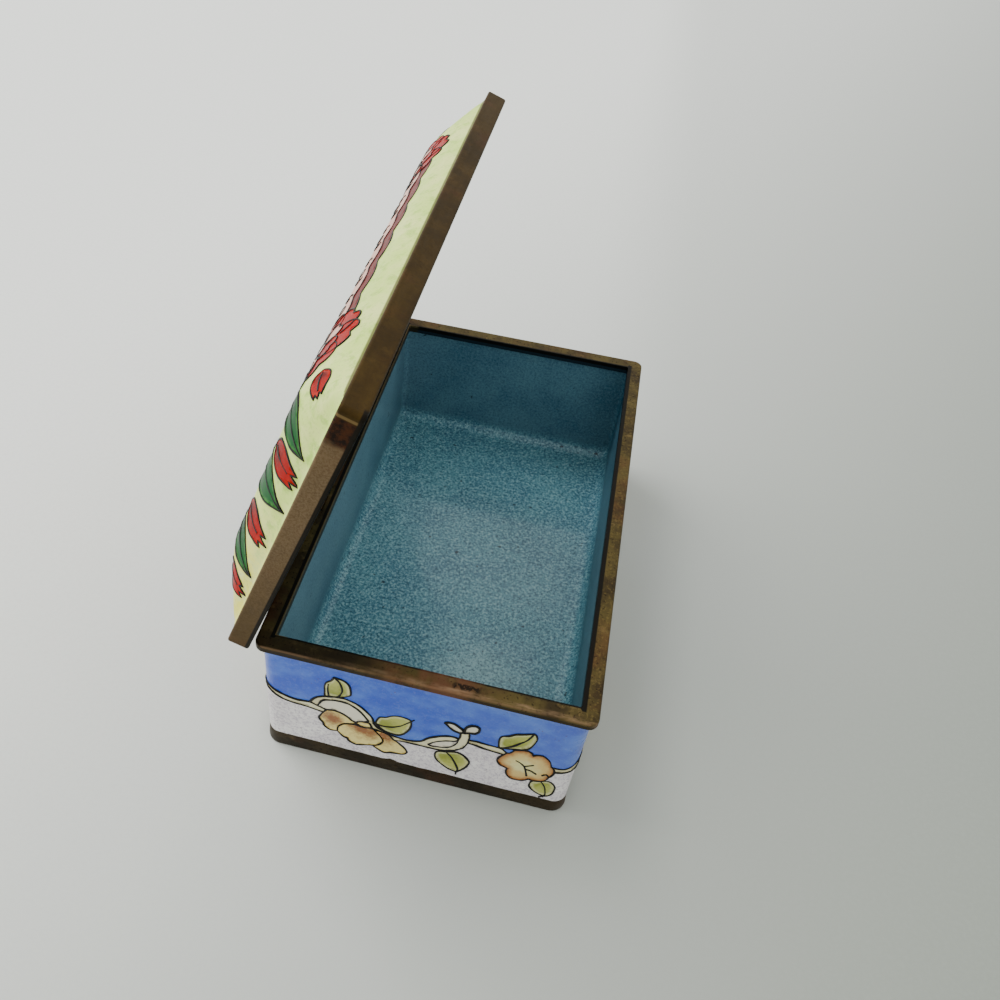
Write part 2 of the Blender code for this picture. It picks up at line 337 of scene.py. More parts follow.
# The vine's pattern repeats round the box. Every shape is a list of strokes, (along, up) in mm
# from the middle of the front's foot, and a stroke ends where the shape has a corner.
repeat = girth / 5
vine_sky_edge = [(-repeat / 2, 15.0), (-25.3, 16.0), (-23.7, 15.7), (-21.9, 14.7), (-19.5, 14.1), (-17.4, 14.3),
                 (-16.5, 16.1), (-14.5, 17.3), (-12.2, 17.5), (-10.2, 17.0), (-8.5, 15.2), (-7.4, 13.6),
                 (-6.5, 12.0), (-4.5, 10.9), (-1.4, 10.3), (0.7, 10.6), (2.3, 12.2), (3.9, 13.4), (6.0, 14.3),
                 (7.2, 14.8), (8.5, 14.6), (11.9, 14.2), (13.8, 14.0), (17.0, 12.6), (21.5, 12.4), (23.4, 12.7),
                 (25.0, 13.2), (repeat / 2, 15.0)]
sky_line = smooth_line(vine_sky_edge)


def sky_edge(around):
    """Height at which the blue starts, this far round the walls."""
    local = (around + repeat / 2) % repeat - repeat / 2
    for start, end in zip(sky_line, sky_line[1:]):
        if start.x <= local <= end.x:
            share = (local - start.x) / max(end.x - start.x, 1e-6)
            return start.y + (end.y - start.y) * share
    return sky_line[-1].y


def wall_stations():
    """Distances round the walls for the skin's columns, closer together on the corners."""
    stations, start = [], -side_x / 2
    for side in (side_x, side_y, side_x, side_y):
        columns = round(side / row_pitch)
        stations += [start + side * number / columns for number in range(columns)]
        start += side
        stations += [start + bend_length * number / 10 for number in range(10)]
        start += bend_length
    return stations


stations = wall_stations()
wall_rows = round((wall_head - wall_foot) / row_pitch)
heights = [wall_foot + (wall_head - wall_foot) * number / wall_rows for number in range(wall_rows + 1)]
bm = bmesh.new()
above_vine = bm.verts.layers.float.new("above_vine")
rows = [[on_wall(around, height) for around in stations] for height in heights]
rows += [[on_wall(around, height, -enamel_layer) for around in stations] for height in (wall_head, wall_foot)]
drawn = draw_skin(bm, rows, closed=True)
for row, height in zip(drawn, heights):
    for vert, around in zip(row, stations):
        if vert.is_valid:
            vert[above_vine] = height - sky_edge(around)
bmesh.ops.recalc_face_normals(bm, faces=bm.faces)

wall_enamel, shade = new_material("wall_enamel")
place = shade.place()
above = shade.node("Attribute", {"attribute_name": "above_vine"}, None, "Fac")
wash = place.stretched((1.0, 1.0, 1.6)).cloud(6.0, 4.0, 0.6)
brush = place.cloud(1.2, 4.0, 0.7)
grain = place.cloud(0.45, 2.0, 0.7)
blue = wash.fade(0.32, 0.68).mix(screen(30, 78, 204), screen(74, 120, 224))
paler = place.along((1, 0, 0)).fade(-14.0, 25.0) * place.along((0, -1, 0)).fade(38.0, 43.0)
blue = (paler * 0.14).mix(blue, screen(158, 172, 204))
blue = (brush.fade(0.5, 0.72) * 0.14).mix(blue, screen(108, 142, 222))
blue = (grain.fade(0.52, 0.70) * 0.16).mix(blue, screen(140, 164, 226))
halo = (above + (brush - 0.5) * 1.4).fade(0.9, 0.1) * 0.5
blue = halo.mix(blue, screen(166, 186, 232))
under_rim = (place.along((0, 0, 1)) + (brush - 0.5) * 0.9).fade(24.6, 25.8) * 0.45
blue = under_rim.mix(blue, screen(150, 166, 214))
white = wash.fade(0.35, 0.65).mix(screen(240, 232, 234), screen(254, 248, 246))
white = (brush.fade(0.48, 0.66) * 0.4).mix(white, screen(202, 192, 206))
white = (grain.fade(0.46, 0.64) * 0.6).mix(white, screen(180, 166, 182))
specks = place.cloud(0.42, 1.0).fade(0.30, 0.24) * place.cloud(5.0, 2.0).fade(0.5, 0.6)
colour = above.fade(-0.15, 0.15).mix(white, blue)
colour = (specks * 0.8).mix(colour, screen(96, 70, 66))
ripple = place.cloud(4.5, 2.0, 0.4) * 0.8 + place.cloud(0.7, 2.0) * 0.06
finish_material(shade, ripple, 0.10 * mm, Base_Color=colour, Roughness=0.18 + wash * 0.14,
                Specular_IOR_Level=0.35, Coat_Weight=0.15, Coat_Roughness=0.06)
walls = make_piece("wall_enamel_skin", bm, wall_enamel, "box")
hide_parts("box_body")

# Vine on the walls
# Each colour is its own cell of enamel, a hair proud of the ground, shut in by drawn wire that
# has gone black. Leaves are yellow green, flowers peach to burnt orange, and stems cream.
cell_lift = 0.03
cell_depth = 0.08
cell_pitch = 0.7
wire_lift = 0.02

# A stem is its upper and its lower line; a fork or a field is closed by its own strokes.
stems = [
    ([(-25.6, 16.4), (-24.6, 16.4), (-23.6, 16.1), (-22.2, 15.3), (-20.8, 14.8), (-19.5, 14.6), (-17.4, 14.8), (-16.2, 14.3),
      (-14.7, 13.8)],
     [(-15.2, 12.8), (-15.9, 12.9), (-17.2, 13.2), (-18.9, 13.4), (-20.4, 13.5), (-21.9, 13.9), (-23.0, 14.6),
      (-23.8, 15.2), (-24.8, 15.5), (-25.6, 15.6)]),
    ([(-17.5, 14.8), (-16.9, 15.9), (-16.2, 16.7), (-15.2, 17.3), (-14.1, 17.8), (-13.0, 17.9), (-11.9, 18.0),
      (-10.8, 17.7), (-10.0, 17.4), (-9.0, 16.7), (-8.1, 15.7), (-7.3, 14.6), (-7.0, 13.4)],
     [(-7.8, 13.3), (-8.1, 13.8), (-8.7, 14.8), (-9.5, 15.8), (-10.6, 16.6), (-11.7, 17.0), (-12.8, 17.0),
      (-14.2, 16.7), (-15.3, 16.2), (-15.8, 15.3), (-16.2, 14.3)]),
    ([(8.1, 14.9), (9.4, 15.1), (10.5, 15.0), (11.9, 14.9), (12.8, 14.9), (13.5, 14.7), (14.2, 14.0)],
     [(13.9, 13.3), (13.0, 13.4), (11.9, 13.5), (10.6, 13.7), (9.4, 14.0), (8.0, 14.1)]),
    ([(21.6, 12.9), (22.6, 13.0), (23.4, 13.2), (24.8, 13.9), (27.2, 15.6), (29.6, 16.4)],
     [(29.7, 15.6), (27.8, 14.5), (25.3, 12.7), (23.7, 12.3), (22.9, 12.0), (22.1, 11.8)]),
]
stem_fork = [
    [(-7.1, 13.3), (-6.5, 12.4), (-5.9, 11.9), (-4.9, 11.4), (-4.0, 10.9), (-2.9, 10.7), (-1.4, 10.6), (0.2, 11.0),
     (1.0, 11.5), (1.8, 12.6), (2.7, 13.4), (3.9, 14.2), (5.0, 14.7), (6.0, 14.8), (6.6, 14.6)],
    [(6.6, 14.6), (6.8, 15.4), (6.7, 16.6)],
    [(6.7, 16.6), (7.4, 16.5), (8.1, 16.9)],
    [(8.1, 16.9), (8.2, 15.6), (8.1, 14.2), (7.8, 13.1), (7.5, 12.3)],
    [(7.5, 12.3), (6.9, 11.7), (6.0, 10.9), (4.8, 10.4), (3.7, 10.1), (2.0, 10.0), (0.7, 10.0), (-0.5, 10.0),
     (-2.0, 9.9), (-3.2, 9.7), (-3.7, 9.9)],
    [(-3.7, 9.9), (-4.2, 10.6), (-5.0, 11.1), (-6.0, 11.3), (-6.9, 11.5)],
    [(-6.9, 11.5), (-7.3, 11.8), (-7.4, 12.4), (-7.8, 13.3)],
    [(-7.8, 13.3), (-7.1, 13.3)],
]
fields = [
    [[(-16.2, 14.3), (-15.8, 15.3), (-15.3, 16.2), (-14.2, 16.7), (-12.8, 17.0), (-11.7, 17.0), (-10.6, 16.6),
      (-9.5, 15.8), (-8.7, 14.8), (-8.1, 13.8), (-7.8, 13.3)],
     [(-7.8, 13.3), (-8.7, 12.8), (-9.5, 12.5), (-9.9, 12.1)],
     [(-9.9, 12.1), (-10.5, 12.4), (-11.4, 13.3), (-12.5, 13.9), (-13.6, 14.1), (-14.7, 13.8), (-16.2, 14.3)]],
    [[(2.0, 10.9), (2.8, 11.9), (3.7, 12.6), (4.9, 13.3), (6.1, 13.7), (6.6, 14.4)],
     [(6.6, 14.4), (6.4, 13.2), (5.8, 12.1), (4.9, 11.3), (3.6, 10.9), (2.7, 10.7), (2.0, 10.9)]],
    [[(4.1, 18.2), (4.7, 18.5), (5.5, 18.5), (6.3, 18.0), (7.0, 17.4), (7.2, 16.7)],
     [(7.2, 16.7), (6.8, 16.4), (6.1, 16.5), (5.3, 16.9), (4.7, 17.5), (4.1, 18.2)]],
    [[(7.3, 16.7), (7.3, 17.6), (7.6, 18.5), (8.2, 19.1), (8.9, 19.3)],
     [(8.9, 19.3), (9.4, 19.0), (9.5, 18.4), (9.4, 17.8), (8.9, 17.2), (8.2, 17.0), (7.3, 16.7)]],
]
leaves = [
    ([(-12.9, 18.1), (-14.8, 17.5), (-15.0, 19.3), (-15.0, 20.3), (-14.7, 21.3), (-14.0, 22.0), (-13.5, 23.1)],
     [(-13.5, 23.1), (-12.3, 22.9), (-11.6, 22.5), (-11.1, 21.8), (-10.9, 20.9), (-10.8, 19.7), (-11.0, 19.1),
      (-12.2, 18.3), (-12.9, 18.1)],
     [(-13.5, 23.1), (-12.7, 22.2), (-12.3, 21.0), (-12.2, 19.8), (-12.6, 18.6), (-12.9, 18.1)]),
    ([(-6.7, 13.3), (-6.4, 14.5), (-6.0, 15.3), (-5.1, 15.6), (-4.4, 16.2), (-3.5, 16.7), (-2.6, 16.8),
      (-1.8, 16.7), (-1.1, 16.4)],
     [(-1.1, 16.4), (-1.0, 15.3), (-1.2, 14.0), (-1.7, 12.8), (-2.4, 11.8), (-3.2, 11.4), (-4.1, 11.5),
      (-5.1, 11.8), (-5.8, 12.3), (-6.7, 13.3)],
     [(-6.7, 13.3), (-5.7, 13.0), (-4.8, 13.1), (-3.7, 13.5), (-2.6, 14.3), (-1.7, 15.4), (-0.6, 16.8)]),
    ([(5.0, 10.0), (3.6, 9.5), (3.3, 8.5), (3.5, 7.4), (4.1, 6.5), (5.0, 5.7), (5.9, 5.1), (7.2, 4.8)],
     [(7.2, 4.8), (7.9, 5.8), (8.5, 6.9), (8.9, 8.4), (8.7, 9.1), (7.9, 10.1), (7.0, 10.6), (6.0, 10.5),
      (5.0, 10.0)],
     [(5.0, 10.0), (5.8, 9.1), (6.4, 8.0), (7.0, 6.6), (7.3, 5.6), (7.1, 4.7), (7.1, 4.0)]),
    ([(12.9, 14.9), (12.7, 17.0), (13.0, 18.2), (14.0, 18.8), (15.0, 19.7), (16.1, 20.2), (17.6, 21.0)],
     [(17.6, 21.0), (18.0, 20.5), (18.2, 19.6), (18.0, 18.4), (17.5, 16.9), (16.9, 16.2), (15.8, 15.7),
      (14.0, 15.2), (12.9, 14.9)],
     [(12.9, 14.9), (14.0, 15.5), (15.0, 16.4), (16.0, 17.7), (16.8, 18.8), (17.6, 21.0)]),
    ([(20.5, 8.2), (19.2, 7.7), (18.9, 6.2), (19.3, 5.4), (20.0, 4.7), (20.7, 4.3), (21.7, 4.1)],
     [(21.7, 4.1), (22.1, 4.3), (22.7, 5.1), (22.9, 6.2), (22.9, 7.4), (22.4, 8.3), (21.7, 8.7), (20.5, 8.2)],
     [(20.5, 8.2), (21.1, 7.3), (21.5, 6.2), (21.7, 4.3), (20.9, 3.4)]),
]
near_petal = [
    [(-14.7, 13.8), (-15.4, 12.5), (-16.0, 11.1), (-15.9, 10.6), (-15.3, 9.8), (-15.2, 9.1), (-14.7, 8.5),
     (-14.0, 8.1), (-12.9, 8.3)],
    [(-12.9, 8.3), (-12.8, 9.5), (-12.2, 10.5), (-11.4, 11.1), (-10.0, 11.5)],
    [(-10.0, 11.5), (-9.9, 12.1), (-10.5, 12.4), (-11.4, 13.3), (-12.5, 13.9), (-13.6, 14.1), (-14.7, 13.8)],
]
middle_petal = [
    [(-10.0, 11.5), (-9.3, 11.3), (-8.6, 11.2), (-7.6, 11.5), (-6.9, 11.5)],
    [(-6.9, 11.5), (-6.5, 10.8), (-5.9, 10.0), (-5.4, 9.0), (-5.3, 8.4), (-5.7, 7.5), (-6.4, 6.8), (-7.0, 6.5)],
    [(-7.0, 6.5), (-8.0, 6.2), (-9.2, 5.7), (-9.9, 5.6), (-10.6, 5.9), (-11.1, 6.4), (-11.2, 7.0)],
    [(-11.2, 7.0), (-11.8, 7.0), (-12.4, 7.6), (-12.9, 8.3)],
    [(-12.9, 8.3), (-12.8, 9.5), (-12.2, 10.5), (-11.4, 11.1), (-10.0, 11.5)],
]
small_petal = [
    [(-9.9, 12.0), (-9.5, 12.5), (-8.7, 12.8), (-7.7, 12.9)],
    [(-7.7, 12.9), (-7.4, 12.3), (-7.2, 11.7)],
    [(-7.2, 11.7), (-7.9, 11.4), (-8.6, 11.3), (-9.3, 11.5), (-9.9, 12.0)],
]
far_petal = [
    [(-6.9, 11.5), (-6.0, 11.3), (-5.0, 11.1), (-4.2, 10.6), (-3.7, 9.7)],
    [(-3.7, 9.7), (-3.1, 9.4), (-2.3, 8.7), (-1.6, 7.9), (-1.2, 7.0)],
    [(-1.2, 7.0), (-1.5, 6.3), (-2.3, 5.9), (-3.3, 5.8), (-4.1, 5.6), (-4.9, 5.2), (-5.6, 5.5), (-7.0, 6.5)],
    [(-7.0, 6.5), (-6.4, 6.8), (-5.7, 7.5), (-5.3, 8.4), (-5.4, 9.0), (-5.9, 10.0), (-6.5, 10.8), (-6.9, 11.5)],
]
open_flower = [
    [(14.3, 14.0), (13.9, 13.3), (13.3, 12.3), (13.1, 11.2), (13.6, 10.2), (14.3, 9.9), (14.9, 9.7)],
    [(14.9, 9.7), (14.8, 8.7), (15.1, 7.7), (15.7, 7.0), (16.6, 6.9), (17.6, 7.1), (18.2, 7.6), (18.6, 8.1)],
    [(18.6, 8.1), (19.0, 7.8), (19.9, 7.9), (20.6, 8.2), (21.2, 8.9), (21.5, 9.9)],
    [(21.5, 9.9), (21.8, 10.5), (22.1, 11.6), (21.9, 12.5), (21.4, 13.1)],
    [(21.4, 13.1), (21.0, 14.4), (20.4, 15.1), (19.7, 15.6), (18.8, 15.4), (18.3, 15.0)],
    [(18.3, 15.0), (18.0, 15.6), (17.5, 15.9), (16.8, 15.9), (16.0, 15.6), (15.4, 15.3), (15.1, 14.7)],
    [(15.1, 14.7), (14.7, 14.1), (14.3, 14.0)],
]
# Each petal also has the point where its colour is deepest.
petals = [(near_petal, (-13.9, 11.6)), (middle_petal, (-8.4, 11.0)), (small_petal, (-8.6, 13.8)),
          (far_petal, (-5.6, 10.6))]
flower_lines = [
    [(15.9, 12.5), (16.7, 12.1), (17.4, 11.4)],
    [(17.4, 11.4), (18.1, 11.9), (18.8, 12.4)],
    [(17.4, 11.4), (17.7, 10.5), (18.1, 8.9)],
    [(17.7, 10.7), (18.5, 10.6), (19.5, 10.0)],
    [(20.4, 10.0), (21.0, 10.6), (21.5, 9.9)],
    [(-14.4, 21.0), (-14.5, 19.4), (-14.3, 17.6)],
]


def add_cell(bm, outline, base, put, jiggle):
    """Fills one cell, cuts it up so that it can follow the surface, and lays it there. Its
    attributes say how far each point is from the cell's base and from its edge."""
    from_base = bm.verts.layers.float["from_base"]
    from_edge = bm.verts.layers.float["from_edge"]
    rim = [Vector(point) for point in outline]
    face = bm.faces.new([bm.verts.new((point.x, point.y, 0)) for point in rim])
    part = [face, *face.edges, *face.verts]
    for axis in range(2):
        normal = Vector((1, 0, 0)) if axis == 0 else Vector((0, 1, 0))
        low = math.ceil(min(point[axis] for point in rim) / cell_pitch)
        high = math.floor(max(point[axis] for point in rim) / cell_pitch)
        for number in range(low, high + 1):
            where = normal * (number + 0.037) * cell_pitch
            cut = bmesh.ops.bisect_plane(bm, geom=part, plane_co=where, plane_no=normal, dist=1e-5)
            part = cut["geom"]
    verts = {item for item in part if isinstance(item, bmesh.types.BMVert)}
    flat = {vert: Vector((vert.co.x, vert.co.y)) for vert in verts}
    reach = max((point - Vector(base)).length for point in rim)
    for vert, spot in flat.items():
        vert[from_base] = (spot - Vector(base)).length / reach
        vert[from_edge] = min((spot - point).length for point in rim)
        vert.co = put(jiggle(spot), cell_lift)


def new_cells():
    bm = bmesh.new()
    bm.verts.layers.float.new("from_base")
    bm.verts.layers.float.new("from_edge")
    return bm


def close_outline(strokes, step=0.5):
    """One outline from strokes that follow each other round a shape."""
    outline = []
    for stroke in strokes:
        outline += smooth_line(stroke, step)[:-1]
    return outline


def finish_cells(name, bm, material, body):
    """Gives the cells their thickness, sunk into the ground."""
    bmesh.ops.recalc_face_normals(bm, faces=bm.faces)
    piece = make_piece(name, bm, material, body, 60)
    thick = piece.modifiers.new("thickness", "SOLIDIFY")
    thick.thickness = cell_depth * mm
    thick.offset = -1
    return piece


def make_wires(name, lines, material, body):
    """Round wires along lines of points, each with its own radius in mm, as one piece."""
    curve = bpy.data.curves.new(name, "CURVE")
    curve.dimensions = "3D"
    curve.bevel_depth = mm
    curve.bevel_resolution = 1
    curve.use_fill_caps = True
    for line, radius in lines:
        spline = curve.splines.new("POLY")
        spline.points.add(len(line) - 1)
        for point, spot in zip(spline.points, line):
            point.co = (*spot, 1)
            point.radius = radius * (1.0 + 0.5 * noise.noise(Vector(spot) * 420) + 0.2 * noise.noise(Vector(spot) * 1500))
    drawing = bpy.data.objects.new(name + "_line", curve)
    bpy.context.scene.collection.objects.link(drawing)
    mesh = bpy.data.meshes.new_from_object(drawing)
    bpy.data.objects.remove(drawing)
    mesh.name = name
    return make_piece(name, mesh, material, body, 60)


def enamel_cells(name, heart, middle, edge, spread=1.0, gloss=0.16, shine=0.3):
    """Enamel that shades from the base of a cell, through its middle, to its rim."""
    material, shade = new_material(name)
    place = shade.place()
    brushed = place.cloud(1.5, 3.0, 0.65)
    base = shade.node("Attribute", {"attribute_name": "from_base"}, None, "Fac")
    rim = shade.node("Attribute", {"attribute_name": "from_edge"}, None, "Fac")
    tone = (base + (brushed - 0.5) * 0.9).fade(0.12, 0.75)
    colour = tone.mix(heart, middle)
    colour = ((rim + (brushed - 0.5) * 0.8 * spread).fade(0.75 * spread, 0.1)).mix(colour, edge)
    pits = place.cloud(0.35, 2.0).fade(0.33, 0.27)
    colour = (pits * 0.4).mix(colour, heart)
    finish_material(shade, brushed * 0.5 + pits * 0.1, 0.02 * mm, Base_Color=colour,
                    Roughness=gloss + brushed * 0.12, Specular_IOR_Level=0.02 + shine,
                    Coat_Weight=0.08 + shine, Coat_Roughness=0.06)
    return material


leaf_enamel = enamel_cells("leaf_enamel", screen(146, 152, 40), screen(190, 192, 92), screen(230, 226, 164), 1.1)
petal_enamel = enamel_cells("petal_enamel", screen(150, 88, 22), screen(250, 228, 140), screen(226, 180, 98), 0.5)
flower_enamel = enamel_cells("flower_enamel", screen(238, 230, 162), screen(228, 192, 114), screen(180, 112, 48), 1.8)
stem_enamel = enamel_cells("stem_enamel", screen(226, 214, 168), screen(240, 232, 190), screen(224, 210, 158), 0.4)
bloom_enamel = enamel_cells("bloom_enamel", screen(238, 228, 204), screen(238, 230, 208), screen(220, 208, 196), 0.4)

wire_metal, shade = new_material("wire_metal")
place = shade.place()
shine = place.cloud(2.5, 3.0).fade(0.55, 0.75)
finish_material(shade, place.cloud(0.3, 2.0), 0.01 * mm,
                Base_Color=shine.mix(screen(12, 10, 8), screen(46, 36, 26)), Roughness=0.45, Metallic=0.5)

leaf_cells, petal_cells, flower_cells, stem_cells, bloom_cells = [new_cells() for _ in range(5)]
wall_lines = []
for number in range(5):
    start = number * repeat
    hand = 0.0 if number == 0 else 1.0

    def jiggle(spot, start=start, hand=hand):
        """Shifts a point round the walls to its repeat, where the maker's hand strayed a little."""
        stray = noise.noise_vector(Vector((spot.x / 9 + start, spot.y / 9, 4.2))) * hand
        return Vector((spot.x + start + stray.x * 0.9, spot.y + stray.y * 0.7))

    def put(spot, lift):
        return on_wall(spot.x, spot.y, lift)

    def lay_wire(stroke, radius, jiggle=jiggle):
        line = [jiggle(spot) for spot in smooth_line(stroke, 0.4)]
        wall_lines.append(([on_wall(spot.x, spot.y, wire_lift) for spot in line], radius))

    for number_of_stem, (upper, lower) in enumerate(stems):
        cell_lift = 0.03 + 0.004 * number_of_stem
        add_cell(stem_cells, smooth_line(upper) + smooth_line(lower), upper[0], put, jiggle)
        lay_wire(upper, 0.18)
        lay_wire(lower, 0.18)
    add_cell(stem_cells, close_outline(stem_fork), stem_fork[0][0], put, jiggle)
    for stroke in stem_fork[:6]:
        lay_wire(stroke, 0.18)
    cell_lift = 0.05
    for number_of_field, strokes in enumerate(fields):
        add_cell(bloom_cells, close_outline(strokes), strokes[0][0], put, jiggle)
        for stroke in strokes:
            lay_wire(stroke, 0.25 if number_of_field > 1 else 0.17)
    for left, right, vein in leaves:
        add_cell(leaf_cells, close_outline([left, right]), left[0], put, jiggle)
        for stroke in (left, right, vein):
            lay_wire(stroke, 0.17)
    for strokes, heart in petals:
        add_cell(petal_cells, close_outline(strokes), heart, put, jiggle)
        for stroke in strokes:
            lay_wire(stroke, 0.18)
    add_cell(flower_cells, close_outline(open_flower), (17.4, 11.4), put, jiggle)
    cell_lift = 0.03
    for stroke in open_flower + flower_lines:
        lay_wire(stroke, 0.16)

finish_cells("vine_leaves", leaf_cells, leaf_enamel, "box")
finish_cells("vine_petals", petal_cells, petal_enamel, "box")
finish_cells("vine_flowers", flower_cells, flower_enamel, "box")
finish_cells("vine_stems", stem_cells, stem_enamel, "box")
finish_cells("vine_blooms", bloom_cells, bloom_enamel, "box")
make_wires("vine_wires", wall_lines, wire_metal, "box")

# Lining
# The inside of the walls and the floor are coated with one speckled teal enamel, dusted on
# thickly over the floor and thinner up the sides, and run together in a soft round at the foot.
lining_outer = 0.7 + enamel_layer
lining_inner = 2.0
lining_round = 2.2
lining_top = wall_head
floor_top = 2.1
lining_under = pan_sheet / mm


def lining_row(inset, height):
    corner = max(wall_corner - (inset - 0.7), 0.4)
    half_x = rim_high.x / mm - inset
    half_y = rim_high.y / mm - inset
    return [Vector((point.x, point.y, height)) * mm for point in rounded_loop(half_x, half_y, corner)]


side_count = 16
side_bottom = floor_top + lining_round
bm = bmesh.new()
profile = [(5.2, floor_top)]
profile += bend_points(lining_inner + lining_round, side_bottom, lining_round, 270, 180, 8)
profile += [(lining_inner, side_bottom + (lining_top - side_bottom) * number / side_count)
            for number in range(1, side_count + 1)]
profile += [(lining_outer, lining_top), (lining_outer, lining_under)]
draw_skin(bm, [lining_row(inset, height) for inset, height in profile])
bmesh.ops.recalc_face_normals(bm, faces=bm.faces)

lining_enamel, shade = new_material("lining_enamel")
place = shade.place()
height = place.along((0, 0, 1))
drift = place.cloud(9.0, 3.0, 0.55)
up_the_wall = (height + (drift - 0.5) * 1.6).fade(2.3, 5.6)
fine = place.cloud(0.5, 4.0, 0.8)
coarse = place.cloud(1.5, 3.0, 0.7)
light_dust = fine.fade(0.50, 0.60)
dark_dust = fine.fade(0.49, 0.39)
floor_colour = drift.fade(0.35, 0.65).mix(screen(86, 144, 164), screen(102, 162, 177))
# Painted reflection: a pale patch on the floor near the front, lightened as if a light were mirrored in the glaze.
reflection_x = (place.along((1, 0, 0)) - 6.5).size()
reflection_y = (place.along((0, 1, 0)) + 22.5).size()
painted_reflection = (reflection_x * 0.8 + reflection_y + drift * 5.0).fade(12.0, 5.0)
floor_colour = (painted_reflection * 0.5).mix(floor_colour, screen(168, 212, 214))
floor_colour = (light_dust * 0.8).mix(floor_colour, screen(168, 212, 214))
floor_colour = (dark_dust * 0.85).mix(floor_colour, screen(42, 88, 106))
floor_colour = (coarse.fade(0.45, 0.30) * 0.35).mix(floor_colour, screen(56, 100, 124))
side_colour = drift.fade(0.35, 0.65).mix(screen(72, 114, 134), screen(92, 134, 150))
# Painted shade darkens the right inner wall, and painted light lightens the upper part of the left inner wall.
right_wall_shade = place.along((1, 0, 0)).fade(14.0, 22.0)
left_wall_light = place.along((-1, 0, 0)).fade(14.0, 22.0) * height.fade(6.0, 14.0)
side_colour = (right_wall_shade * 0.5).mix(side_colour, screen(50, 92, 110))
side_colour = (left_wall_light * 0.2).mix(side_colour, screen(150, 190, 205))
side_colour = (light_dust * 0.42).mix(side_colour, screen(120, 164, 178))
side_colour = (dark_dust * 0.55).mix(side_colour, screen(28, 70, 94))
colour = up_the_wall.mix(floor_colour, side_colour)
spots = place.cloud(1.3, 1.0).fade(0.27, 0.22)
colour = (spots * 0.8).mix(colour, screen(18, 40, 52))
finish_material(shade, coarse * 0.5 + fine * 0.2, 0.028 * mm, Base_Color=colour,
                Roughness=0.35 + fine * 0.10, Coat_Weight=0.18, Coat_Roughness=0.07)
lining = make_piece("lining_enamel_tub", bm, lining_enamel, "box")
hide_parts("box_body")

# Rim
# A brass channel rolled over the top edge of the walls and soldered at one corner. Painted highlights
# run along its front rail, and its top is brown with yellow freckles at one corner.
rim_width = 2.75
rim_brass, shade, colour, gloss = aged_brass(
    "rim_brass", screen(60, 48, 28), screen(94, 80, 42), screen(140, 116, 70), red=0.3, spots=0.7)
place = shade.place()
front = place.along((0, -1, 0)).fade(41.5, 42.3)
flank = place.along((1, 0, 0)).fade(22.5, 23.5)
freckles = place.cloud(0.5, 2.0, 0.7).fade(0.52, 0.66)
colour = (flank * freckles * 0.35).mix(colour, screen(134, 112, 60))
shadowed = (front * place.along((1, 0, 0)).fade(4.0, -16.0)) * 0.5
colour = shadowed.mix(colour, screen(44, 34, 24))
beyond_x = place.along((1, 0, 0)).size() - (rim_high.x / mm - rim_width)
beyond_y = place.along((0, 1, 0)).size() - (rim_high.y / mm - rim_width)
from_inside = beyond_x.maths("MAXIMUM", beyond_x, beyond_y)
on_flank = place.along((1, 0, 0)).size().fade(23.0, 23.4)
# Painted shade: the rim's inner lip and the gap beneath it are darkened as if they lay in shadow.
inner_lip_shade = (from_inside - on_flank * 0.4).fade(0.36, 0.20)
colour = inner_lip_shade.mix(colour, screen(22, 18, 11))
below_head = rim_high.z / mm - place.along((0, 0, 1))
run_over = from_inside.fade(0.06, 0.02) * from_inside.fade(-0.14, -0.06) * below_head.fade(0.75, 0.90)
colour = run_over.mix(colour, screen(58, 98, 118))
# Painted highlight: a light brown line along the inner edge of the left rail, where the edge catches the light.
lip_highlight = place.along((-1, 0, 0)).fade(21.0, 22.0) * from_inside.fade(0.16, 0.08) * from_inside.fade(-0.14, -0.06)
colour = (lip_highlight * 0.8).mix(colour, screen(136, 112, 72))
# edge is the rolled outer top edge of the front rail; it gets a painted highlight line and a little less roughness.
edge = place.along((0, -0.7071, 0.7071)).fade(51.02, 51.1) * place.along((0, -1, 0)).fade(44.3, 44.6)
# Painted shade: everything below the rim's top edge is darkened, as the rounded underside turns away from the light.
underside_shade = place.along((0, 0, 1)).fade(27.05, 26.95)
colour = (underside_shade * 0.75).mix(colour, screen(30, 22, 14))
copper = front * place.along((1, 0, 0)).fade(-10.0, -2.0) * place.along((1, 0, 0)).fade(14.0, 4.0)
colour = (copper * place.cloud(4.0, 4.0).fade(0.3, 0.6) * 0.65).mix(colour, screen(128, 82, 58))
nicks = (place.along((1, 0, 0)) - 6.4).size().fade(2.4, 1.6) * (place.along((0, -1, 0)) - 43.7).size().fade(0.7, 0.4)
colour = (nicks * place.cloud(0.7, 2.0, 0.6).fade(0.48, 0.54) * 0.9).mix(colour, screen(26, 20, 14))
# Painted highlight along the front rail's outer edge.
colour = (edge * place.cloud(5.0, 3.0).fade(0.3, 0.6) * 0.25).mix(colour, screen(176, 136, 104))
# Painted highlight: a soft light streak along the crown of the front rail.
crown_highlight = (place.along((0, -1, 0)) - 44.45).size().fade(0.6, 0.05) * place.along((1, 0, 0)).fade(-20.0, 4.0)
crown_highlight = crown_highlight * place.stretched((0.3, 1, 1)).cloud(1.4, 3.0, 0.7).fade(0.35, 0.65)
colour = (crown_highlight * 0.6).mix(colour, screen(176, 140, 106))
finish_material(shade, Base_Color=colour, Roughness=gloss - edge * 0.10)

